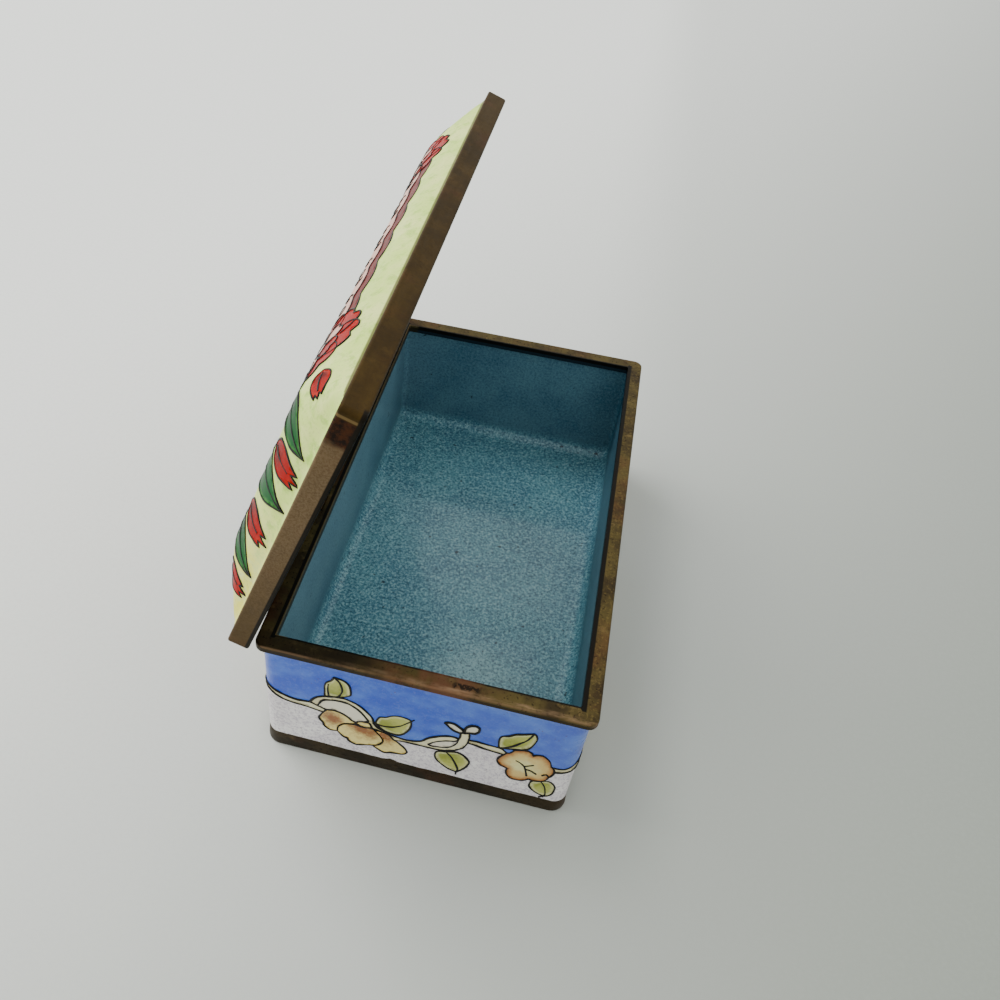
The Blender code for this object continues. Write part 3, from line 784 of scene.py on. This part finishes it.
# Lid band
# A strip of brass bent round the lid and brazed shut near one corner, where a dark scar shows.
# It carries the enamelled dome in its upper edge and lies on the rim when the lid is shut.
joint = frame["joints"][0]
hinge_place = Vector(joint["pos_m"])
opened = math.radians(joint["range_deg"][0])
lid_turn = (Matrix.Translation(hinge_place) @ Matrix.Rotation(opened, 4, "Y")
            @ Matrix.Translation(-hinge_place))
lid_across = (lid_turn.to_3x3() @ Vector((1, 0, 0))).normalized()
lid_up = (lid_turn.to_3x3() @ Vector((0, 0, 1))).normalized()
hinge_across = hinge_place.dot(lid_across) / mm
hinge_up = hinge_place.dot(lid_up) / mm

band_brass, shade, colour, gloss = aged_brass(
    "band_brass", screen(62, 45, 15), screen(77, 57, 20), screen(92, 69, 30), red=0.2, spots=0.15)
place = shade.place()
across = place.along(lid_across) - (hinge_across - hinge_place.x / mm)
near_end = place.along((0, -1, 0)).fade(44.0, 44.8)
grain = place.stretched((1, 1, 1)).cloud(0.35, 3.0, 0.8)
scar_edge = across + (place.cloud(1.4, 3.0) - 0.5) * 2.0
scar = near_end * scar_edge.fade(20.2, 21.2) * across.fade(25.0, 24.7)
scar_tone = place.cloud(0.8, 4.0, 0.7).fade(0.35, 0.65).mix(screen(30, 15, 6), screen(72, 38, 14))
colour = (grain.fade(0.45, 0.7) * 0.25).mix(colour, screen(44, 34, 20))
# Painted reflection: a light patch on the band's near end, standing in for a bright light mirrored there.
end_reflection = near_end * across.fade(-40.0, 10.0) * across.fade(24.4, 22.6)
colour = (end_reflection * (0.45 + grain.fade(0.35, 0.65) * 0.35)).mix(colour, screen(136, 112, 84))
colour = scar.mix(colour, scar_tone)
# Painted highlight: a light line along the brazed seam at the corner, where the bend catches the light.
seam_highlight = near_end * across.fade(24.9, 25.05) * across.fade(25.5, 25.3)
colour = (seam_highlight * 0.55).mix(colour, screen(150, 122, 78))
above_foot = place.along(lid_up) - (hinge_up - hinge_place.z / mm) - (rim_high.z / mm + 0.3)
# Painted shadow: the lowest part of the band's near end is darkened, as if the band lay in shadow just above the rim.
colour = (near_end * above_foot.fade(0.75, 0.55)).mix(colour, screen(26, 20, 10))
finish_material(shade, Base_Color=colour, Roughness=gloss + 0.05)

# Hinge
# Five brass tubes, three soldered to the rim and two to the lid's band, turn on one thin pin.
# Their brass is a little brighter than the rest.
hinge_brass, _, _, _ = aged_brass("hinge_brass", screen(84, 66, 42), screen(122, 98, 62), screen(164, 134, 88))

for name, material in (("box_rim", rim_brass), ("lid_band", band_brass), ("hinge_pin", hinge_brass),
                       *[(f"hinge_knuckle_{number}", hinge_brass) for number in range(1, 6)]):
    mesh = frame["nodes"][name].data
    mesh.materials.clear()
    mesh.materials.append(material)

# Lid dome
# Copper sheet pressed into a low pillow and enamelled on both faces: pale yellow green outside,
# washed by brush, and the lining's speckled teal inside. It is set in the upper edge of the band.
lid_over_end = 0.8
lid_over_front = 0.4
lid_middle = lid_over_front / 2
lid_half_x = rim_high.x / mm + lid_middle
lid_half_y = rim_high.y / mm + lid_over_end
band_wall = 0.8
band_height = 3.4
band_foot = rim_high.z / mm + 0.3
band_top = band_foot + band_height
dome_rise = 5.2
dome_side_shoulder = 10.0
dome_end_shoulder = 7.0
dome_power = 1.5
dome_shell = 1.2
dome_pitch = 0.6
dome_half_x = lid_half_x - band_wall
dome_half_y = lid_half_y - band_wall
dome_corner = 0.5
dome_end_flat = 2.0


def shoulder(share):
    share = min(max(share, 0.0), 1.0)
    return (1.0 - (1.0 - share) ** dome_power) ** (1.0 / dome_power)


def pillow(from_side, from_end):
    """How far the dome has risen, 0 to 1, this far in from its sides and its ends."""
    across, along = shoulder(from_side / dome_side_shoulder), shoulder(from_end / dome_end_shoulder)
    both = across + along - across * along
    return across * along / both if both > 0 else 0.0


def dome_height(x, y):
    from_side = dome_half_x - abs(x - lid_middle) - 0.3
    return band_top + dome_rise * pillow(from_side, dome_half_y - abs(y) - 0.3 - dome_end_flat)


def on_lid(x, y, lift=0.0):
    """The point of the open lid's outside over (x, y) of the shut lid, lifted off its surface."""
    step = 0.05
    slope_x = (dome_height(x + step, y) - dome_height(x - step, y)) / (2 * step)
    slope_y = (dome_height(x, y + step) - dome_height(x, y - step)) / (2 * step)
    normal = Vector((-slope_x, -slope_y, 1)).normalized()
    return lid_turn @ ((Vector((x, y, dome_height(x, y))) + normal * lift) * mm)


def into_outline(x, y):
    """Pulls a point of a square corner onto the band's round one."""
    centre = Vector((dome_half_x - dome_corner, dome_half_y - dome_corner))
    out = Vector((abs(x), abs(y))) - centre
    if min(out) > 0 and out.length > dome_corner:
        out *= dome_corner / out.length
    spot = centre + out
    return math.copysign(spot.x, x), math.copysign(spot.y, y)


bm = bmesh.new()
bmesh.ops.create_grid(bm, x_segments=round(2 * dome_half_x / dome_pitch),
                      y_segments=round(2 * dome_half_y / dome_pitch), size=0.5)
for vert in bm.verts:
    x, y = into_outline(vert.co.x * 2 * dome_half_x, vert.co.y * 2 * dome_half_y)
    vert.co = on_lid(x + lid_middle, y)
bmesh.ops.recalc_face_normals(bm, faces=bm.faces)
if max(bm.faces, key=lambda face: face.calc_area()).normal.dot(lid_up) < 0:
    bmesh.ops.reverse_faces(bm, faces=bm.faces)

dome_enamel, shade = new_material("dome_enamel")
place = shade.place()
wash = place.cloud(7.0, 4.0, 0.65)
blots = place.cloud(2.2, 4.0, 0.7)
grain = place.cloud(0.6, 2.0, 0.7)
near_hinge = (place.along(lid_across) + (wash - 0.5) * 12).fade(hinge_across + 30, hinge_across + 8)
green = wash.fade(0.36, 0.66).mix(screen(224, 250, 132), screen(244, 255, 160))
green = (blots.fade(0.48, 0.68) * 0.7).mix(green, screen(176, 218, 92))
cream = blots.fade(0.4, 0.65).mix(screen(255, 244, 110), screen(255, 252, 172))
colour = (near_hinge * 0.85).mix(green, cream)
colour = (grain.fade(0.56, 0.72) * 0.3).mix(colour, screen(176, 188, 122))
pits = place.cloud(0.5, 1.5).fade(0.27, 0.22)
colour = (pits * 0.5).mix(colour, screen(150, 140, 80))
across = place.along(lid_across) - (hinge_across - hinge_place.x / mm)
to_side = (across - lid_middle).size() - dome_half_x
to_end = place.along((0, 1, 0)).size() - dome_half_y
at_band = to_side.maths("MAXIMUM", to_side, to_end).fade(-0.34, -0.16)
colour = (at_band * 0.8).mix(colour, screen(70, 56, 30))
finish_material(shade, wash * 0.5 + grain * 0.06, 0.08 * mm, Base_Color=colour,
                Roughness=0.30 + wash * 0.12, Specular_IOR_Level=0.03, Coat_Weight=0.08, Coat_Roughness=0.06)
dome = make_piece("lid_dome_enamel", bm, dome_enamel, "lid")
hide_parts("lid_dome")

# Lid picture
# A pink lobed panel edged in dark red takes the middle of the lid, with scrolls along its sides,
# between red peonies with green leaves; red buds fill the corners. All of it is cells in wire.
red_enamel = enamel_cells("red_enamel", screen(96, 4, 2), screen(170, 14, 8), screen(196, 40, 22), 0.8, 0.24, 0.0)
pink_enamel = enamel_cells(
    "pink_enamel", screen(230, 160, 142), screen(240, 190, 172), screen(222, 140, 124), 0.8, 0.28, 0.0)
dark_red_enamel = enamel_cells(
    "dark_red_enamel", screen(84, 8, 6), screen(112, 16, 12), screen(96, 12, 8), 0.4, 0.24, 0.0)
green_enamel = enamel_cells(
    "green_enamel", screen(4, 54, 22), screen(22, 92, 42), screen(74, 136, 62), 1.0, 0.24, 0.0)
white_enamel = enamel_cells(
    "white_enamel", screen(228, 180, 168), screen(242, 222, 212), screen(226, 196, 186), 0.5, 0.28, 0.0)

red_cells, pink_cells, dark_cells, green_cells, white_cells = [new_cells() for _ in range(5)]
lid_lines = []


def under_band(spot):
    """The same point, or the nearest one that the lid's band leaves in sight."""
    reach_x, reach_y = dome_half_x - 0.15, dome_half_y - 0.15
    return Vector((min(max(spot.x, lid_middle - reach_x), lid_middle + reach_x), min(max(spot.y, -reach_y), reach_y)))


hidden = []


def in_sight(spot):
    """Whether the band, and the flowers that are laid on top, leave this point in sight."""
    return under_band(spot) == spot and all((spot - Vector(centre)).length > reach for centre, reach in hidden)


def lay_lid_line(line):
    """A wire along these points, which ends where something covers it."""
    run = []
    for spot in [*line, None]:
        if spot is not None and in_sight(spot):
            run.append(on_lid(spot.x, spot.y, cell_lift - 0.04))
            continue
        if len(run) > 1:
            lid_lines.append((run, 0.15))
        run = []


def lay_on_lid(cells, outline, base):
    outline = [Vector(point) for point in outline]
    add_cell(cells, outline, base, lambda spot, lift: on_lid(spot.x, spot.y, lift), under_band)
    lay_lid_line(outline + outline[:1])


def lay_lid_wire(points, step=0.5):
    lay_lid_line(smooth_line(points, step))


def panel_outline(half_x, half_y, lobe, waves_x, waves_y):
    """An oblong whose sides swell in even lobes."""
    outline = []
    for side in range(4):
        turn = Matrix.Rotation(math.radians(90 * side), 2)
        reach, run = (half_x, half_y) if side % 2 else (half_y, half_x)
        waves = waves_y if side % 2 else waves_x
        for number in range(round(2 * run / 0.6)):
            share = number / round(2 * run / 0.6)
            swell = lobe * abs(math.sin(math.pi * waves * share))
            outline.append(turn @ Vector((run * (2 * share - 1), -(reach + swell))))
    return outline


panel_half_x = 18.6
panel_half_y = 24.0
blossoms = [(16.5, -27.0, 1.15, 0.0), (16.0, 28.5, 1.15, 0.4), (-16.5, 27.0, 1.15, 0.2), (-16.0, -28.5, 1.15, 0.6),
            (0.0, 0.0, 1.5, 0.3)]
hidden = [((x, y), 5.6 * size) for x, y, size, _ in blossoms]
lay_on_lid(dark_cells, panel_outline(panel_half_x + 1.9, panel_half_y + 1.9, 0.7, 4, 6), (0, 0))

cell_lift = 0.05
lay_on_lid(pink_cells, panel_outline(panel_half_x, panel_half_y, 0.7, 4, 6), (0, 0))


def scroll(x, y, size, turn, hand):
    """A small C-scroll of wire."""
    points = []
    for number in range(12):
        angle = turn + hand * number * 0.55
        reach = size * (1 - number / 16)
        points.append((x + reach * math.cos(angle), y + reach * math.sin(angle)))
    lay_lid_wire(points, 0.4)


cell_lift = 0.07
for side in (-1, 1):
    for number in range(9):
        y = -20.0 + 5.0 * number
        scroll(side * 16.9, y, 1.0, 0 if side > 0 else math.pi, 1 if number % 2 else -1)
        if number % 2 == 0:
            ring = [(side * 16.6 + 0.75 * math.cos(step * math.tau / 12), y + 2.5 + 0.95 * math.sin(step * math.tau / 12))
                    for step in range(12)]
            lay_on_lid(white_cells, ring, (side * 16.6, y + 2.5))


def turned(points, centre, angle, size=1.0):
    rotation = Matrix.Rotation(angle, 2)
    return [Vector(centre) + rotation @ (Vector(point) * size) for point in points]


petal_shape = [(0, 0), (-1.6, 1.5), (-2.6, 3.6), (-2.1, 5.4), (-0.9, 6.0), (0, 5.5), (0.9, 6.0), (2.1, 5.4),
               (2.6, 3.6), (1.6, 1.5), (0, 0)]
leaf_left = [(0, 0), (-2.2, 1.8), (-2.9, 4.2), (-1.8, 6.8), (0.4, 9.4)]
leaf_right = [(0.4, 9.4), (2.1, 6.9), (2.6, 4.2), (1.8, 1.6), (0, 0)]
leaf_vein = [(0, 0), (-0.1, 3.0), (0.1, 6.2), (0.4, 9.4)]
bud_left = [(0, 0), (-1.4, 0.9), (-1.9, 2.6), (-1.3, 4.3)]
bud_tip = [(-1.3, 4.3), (-0.9, 4.9), (-0.4, 4.4), (0.1, 5.2), (0.6, 4.4), (1.1, 4.8), (1.4, 4.2)]
bud_right = [(1.4, 4.2), (1.9, 2.6), (1.4, 0.9), (0, 0)]


def leaf(x, y, angle, size=1.0):
    centre, turn = (x, y), math.radians(angle)
    outline = close_outline([turned(leaf_left, centre, turn, size), turned(leaf_right, centre, turn, size)])
    lay_on_lid(green_cells, outline, centre)
    lay_lid_wire(turned(leaf_vein, centre, turn, size))


def bud(x, y, angle, size=1.0):
    centre, turn = (x, y), math.radians(angle)
    strokes = [turned(stroke, centre, turn, size) for stroke in (bud_left, bud_tip, bud_right)]
    lay_on_lid(red_cells, close_outline(strokes), centre)
    lay_lid_wire(turned([(0, 0.6), (0.1, 2.2), (0.0, 4.0)], centre, turn, size))


for x, y, angle, size in ((14.5, -33.6, 170, 0.95), (1.2, -30.6, -172, 1.28), (-10.8, -33.4, 166, 1.0),
                          (-14.5, 33.6, -10, 0.95), (-1.2, 30.6, 8, 1.28), (10.8, 33.4, -14, 1.0)):
    leaf(x, y, angle, size)
for x, y, angle, size in ((7.9, -36.6, -176, 1.2), (21.4, -35.5, 174, 0.9), (-5.4, -36.0, 178, 1.25),
                          (-18.6, -37.0, -170, 1.1), (-7.9, 36.6, 4, 1.2), (-21.4, 35.5, -6, 0.9),
                          (5.4, 36.0, -2, 1.25), (18.6, 37.0, 10, 1.1)):
    bud(x, y, angle, size)
hidden = []
for angle in range(0, 360, 60):
    spot = turned([(0, 9.5)], (0, 0), math.radians(angle))[0]
    leaf(spot.x * 0.75, spot.y, angle, 0.75)
for x, y, size, start in blossoms:
    for lift, count, scale, offset, covered in ((0.06, 7, 1.0, 0.0, 3.4), (0.11, 5, 0.62, 0.35, 1.1)):
        hidden = [((x, y), covered * size)]
        for number in range(count):
            cell_lift = lift + 0.006 * number
            angle = start + offset + math.tau * number / count
            outline = close_outline([turned(petal_shape, (x, y), angle, size * scale)])
            lay_on_lid(red_cells if scale == 1.0 or number % 2 else pink_cells, outline, (x, y))
    cell_lift = 0.15
    hidden = []
    ring = [(x + size * 1.1 * math.cos(step * math.tau / 14), y + size * 1.1 * math.sin(step * math.tau / 14))
            for step in range(14)]
    lay_on_lid(white_cells, ring, (x, y))

for name, cells, material in (("lid_red_cells", red_cells, red_enamel), ("lid_pink_cells", pink_cells, pink_enamel),
                              ("lid_dark_cells", dark_cells, dark_red_enamel),
                              ("lid_green_cells", green_cells, green_enamel),
                              ("lid_white_cells", white_cells, white_enamel)):
    finish_cells(name, cells, material, "lid")
make_wires("lid_wires", lid_lines, wire_metal, "lid")

# Lid lining
# The hollow of the lid has the same speckled teal enamel as the box, over the same copper, and
# its skirt reaches down inside the band.
hollow_half_x = dome_half_x - 1.5
hollow_half_y = dome_half_y - 1.5
bm = bmesh.new()
bmesh.ops.create_grid(bm, x_segments=40, y_segments=70, size=0.5)
rim_edges = [edge for edge in bm.edges if edge.is_boundary]
skirt = bmesh.ops.extrude_edge_only(bm, edges=rim_edges)["geom"]
skirt = {item for item in skirt if isinstance(item, bmesh.types.BMVert)}
for vert in bm.verts:
    x, y = vert.co.x * 2 * hollow_half_x, vert.co.y * 2 * hollow_half_y
    rise = dome_rise - dome_shell
    from_end = hollow_half_y - abs(y) - dome_end_flat
    height = band_top - 0.6 + rise * pillow(hollow_half_x - abs(x), from_end)
    height = band_foot + 1.0 if vert in skirt else height
    vert.co = lid_turn @ (Vector((x + lid_middle, y, height)) * mm)
bmesh.ops.recalc_face_normals(bm, faces=bm.faces)
if max(bm.faces, key=lambda face: face.calc_area()).normal.dot(lid_up) > 0:
    bmesh.ops.reverse_faces(bm, faces=bm.faces)
lid_lining = make_piece("lid_lining_enamel", bm, lining_enamel, "lid")
thick = lid_lining.modifiers.new("thickness", "SOLIDIFY")
thick.thickness = 0.4 * mm
thick.offset = -1
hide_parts("lid_dome")

# Floor, light and camera
# A seamless pale table under one large soft light from the left and a bright room round it.
bpy.ops.mesh.primitive_plane_add(size=6, location=(0, 0, 0))
table_top = bpy.context.object
table_top.name = "table_top"
table_paper, shade = new_material("table_paper")
place = shade.place()
# Painted light: the table is lighter to the left and back and darker to the right and front, as the light falls off.
tone = place.along((0.20, -0.095, 0)).fade(-32, 38)
grain = place.cloud(0.8, 3.0)
# Painted shade: the table is darkened to the right of the box.
table_shade_right = place.along((1, 0, 0)).fade(10, 45) * place.along((0, 1, 0)).fade(-45, -5)
colour = tone.mix(screen(255, 255, 250), screen(136, 142, 130))
colour = (table_shade_right * 0.25).mix(colour, screen(150, 154, 148))
colour = (grain.fade(0.4, 0.7) * 0.08).mix(colour, screen(190, 194, 188))
finish_material(shade, grain, 0.01 * mm, Base_Color=colour, Roughness=0.7)
table_top.data.materials.append(table_paper)


def soft_light(name, place, aim, width, height, power):
    """A rectangular soft light that faces a point."""
    data = bpy.data.lights.new(name, "AREA")
    data.shape = "RECTANGLE"
    data.size = width
    data.size_y = height
    data.energy = power
    light = bpy.data.objects.new(name, data)
    light.location = place
    light.rotation_euler = (Vector(place) - Vector(aim)).to_track_quat("Z", "Y").to_euler()
    bpy.context.scene.collection.objects.link(light)
    return light


soft_light("window_light", (-0.75, 0.25, 1.05), (0, 0, 0), 0.9, 0.9, 14.6)
soft_light("ceiling_light", (-0.03, 0.905, 1.0), (0, 0, 0), 0.25, 0.16, 0.24)
soft_light("doorway_light", (-0.01, 0.70, 1.0), (0, 0, 0), 0.13, 0.08, 0.08)

world = bpy.data.worlds.new("room")
bpy.context.scene.world = world
world.use_nodes = True
room = world.node_tree.nodes["Background"]
room.inputs["Color"].default_value = (0.93, 0.97, 0.95, 1.0)
room.inputs["Strength"].default_value = 0.94

camera_data = bpy.data.cameras.new("camera")
camera_data.lens = 34.24
camera_data.sensor_width = 36.0
camera_data.shift_x = 0.08
camera_data.clip_start = 0.01
camera = bpy.data.objects.new("camera", camera_data)
camera_right = Vector((0.97060, 0.23130, 0.06663))
camera_down = Vector((0.21011, -0.67911, -0.70332))
camera_forward = Vector((-0.11743, 0.69664, -0.70774))
camera.matrix_world = Matrix.Translation(Vector((10.318, -123.145, 144.391)) * mm) @ Matrix(
    (camera_right, -camera_down, -camera_forward)).transposed().to_4x4()
bpy.context.scene.collection.objects.link(camera)
bpy.context.scene.camera = camera
